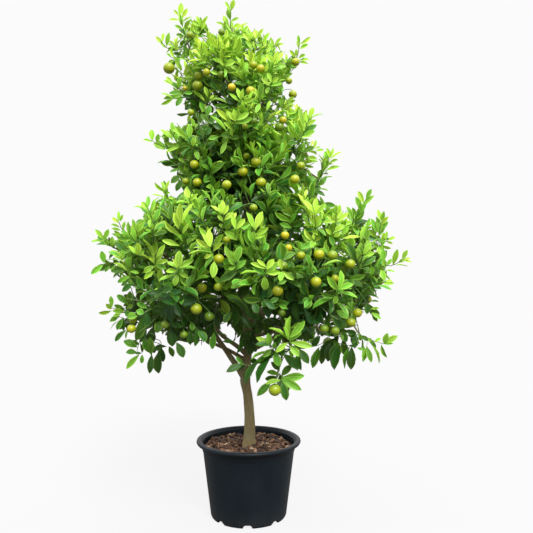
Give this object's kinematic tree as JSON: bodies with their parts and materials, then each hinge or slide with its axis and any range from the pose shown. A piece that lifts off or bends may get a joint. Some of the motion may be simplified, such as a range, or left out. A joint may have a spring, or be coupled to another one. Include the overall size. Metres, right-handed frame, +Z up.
{
  "type": "potted citrus tree",
  "caption": "Young citrus tree with upright leafy shoots and small yellow-green fruits, standing in a round black nursery pot of bark-topped soil.",
  "frame": {"origin": "centre of the pot's foot on the floor, on the pot's axis, at the bottom centre of the whole", "axes": "+Z up along the trunk, -Y towards the side that faces the viewer, +X to the viewer's right"},
  "size_m": [0.8433, 0.7758, 1.3809],
  "materials": {
    "pot_plastic": "satin black",
    "bark_mulch": "loose chipped bark",
    "bark": "smooth grey-brown bark",
    "foliage": "waxy green leaf"
  },
  "bodies": {
    "root": {"pot": "pot_plastic", "soil": "bark_mulch", "trunk": "bark", "spray_lower_front_01": "foliage", "spray_lower_front_02": "foliage", "spray_lower_front_03": "foliage", "spray_lower_front_04": "foliage", "spray_lower_front_05": "foliage", "spray_lower_front_06": "foliage", "spray_lower_front_07": "foliage", "spray_lower_front_08": "foliage", "spray_lower_front_09": "foliage", "spray_lower_front_10": "foliage", "spray_lower_front_11": "foliage", "spray_lower_front_12": "foliage", "spray_lower_front_13": "foliage", "spray_lower_side_01": "foliage", "spray_lower_side_02": "foliage", "spray_lower_side_03": "foliage", "spray_lower_side_04": "foliage", "spray_lower_side_05": "foliage", "spray_lower_side_06": "foliage", "spray_lower_side_07": "foliage", "spray_lower_side_08": "foliage", "spray_lower_side_09": "foliage", "spray_lower_back_01": "foliage", "spray_lower_back_02": "foliage", "spray_lower_back_03": "foliage", "spray_lower_back_04": "foliage", "spray_lower_back_05": "foliage", "spray_lower_back_06": "foliage", "spray_lower_back_07": "foliage", "spray_lower_back_08": "foliage", "spray_middle_01": "foliage", "spray_middle_02": "foliage", "spray_middle_03": "foliage", "spray_middle_04": "foliage", "spray_middle_05": "foliage", "spray_middle_06": "foliage", "spray_middle_07": "foliage", "spray_middle_08": "foliage", "spray_middle_09": "foliage", "spray_middle_10": "foliage", "spray_middle_11": "foliage", "spray_top_01": "foliage", "spray_top_02": "foliage", "spray_top_03": "foliage", "spray_top_04": "foliage", "spray_top_05": "foliage", "spray_top_06": "foliage", "spray_top_07": "foliage", "spray_top_08": "foliage", "spray_top_09": "foliage"}
  },
  "joints": []
}
